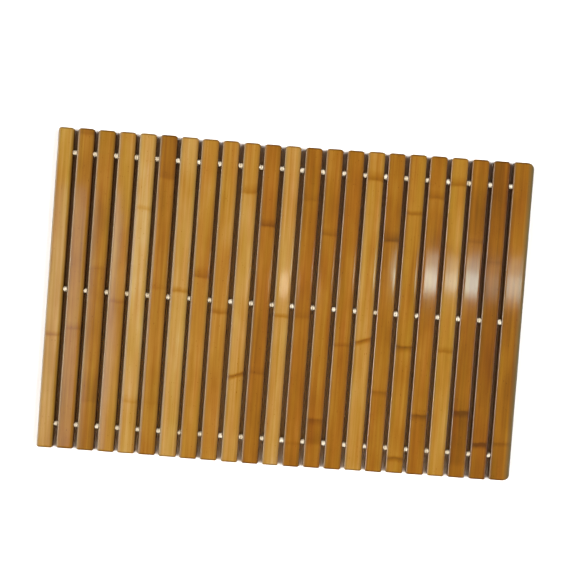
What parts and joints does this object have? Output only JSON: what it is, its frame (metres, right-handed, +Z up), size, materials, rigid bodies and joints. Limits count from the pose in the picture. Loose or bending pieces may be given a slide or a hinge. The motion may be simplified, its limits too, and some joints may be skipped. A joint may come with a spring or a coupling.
{
  "type": "bamboo mat",
  "caption": "Flat rectangular mat of parallel bamboo slats with eased edges, threaded across on knotted cotton cords that hold the slats a small gap apart.",
  "frame": {"origin": "middle of the mat, on the surface that it lies on", "axes": "+X across the slats towards the broad end slat, +Y along the slats, +Z up"},
  "size_m": [0.594, 0.402, 0.008],
  "materials": {
    "bamboo_pale": "clear gloss lacquer",
    "bamboo_honey": "clear gloss lacquer",
    "bamboo_amber": "clear gloss lacquer",
    "bamboo_caramel": "clear gloss lacquer",
    "cotton": "undyed twisted cord, matt"
  },
  "bodies": {
    "root": {"slat_01": "bamboo_pale", "slat_02": "bamboo_honey", "slat_03": "bamboo_amber", "slat_04": "bamboo_honey", "slat_05": "bamboo_pale", "slat_06": "bamboo_amber", "slat_07": "bamboo_pale", "slat_08": "bamboo_amber", "slat_09": "bamboo_honey", "slat_10": "bamboo_honey", "slat_11": "bamboo_caramel", "slat_12": "bamboo_pale", "slat_13": "bamboo_caramel", "slat_14": "bamboo_amber", "slat_15": "bamboo_amber", "slat_16": "bamboo_pale", "slat_17": "bamboo_amber", "slat_18": "bamboo_honey", "slat_19": "bamboo_amber", "slat_20": "bamboo_pale", "slat_21": "bamboo_amber", "slat_22": "bamboo_caramel", "slat_23": "bamboo_amber", "cord_front": "cotton", "cord_middle": "cotton", "cord_back": "cotton"}
  },
  "joints": []
}
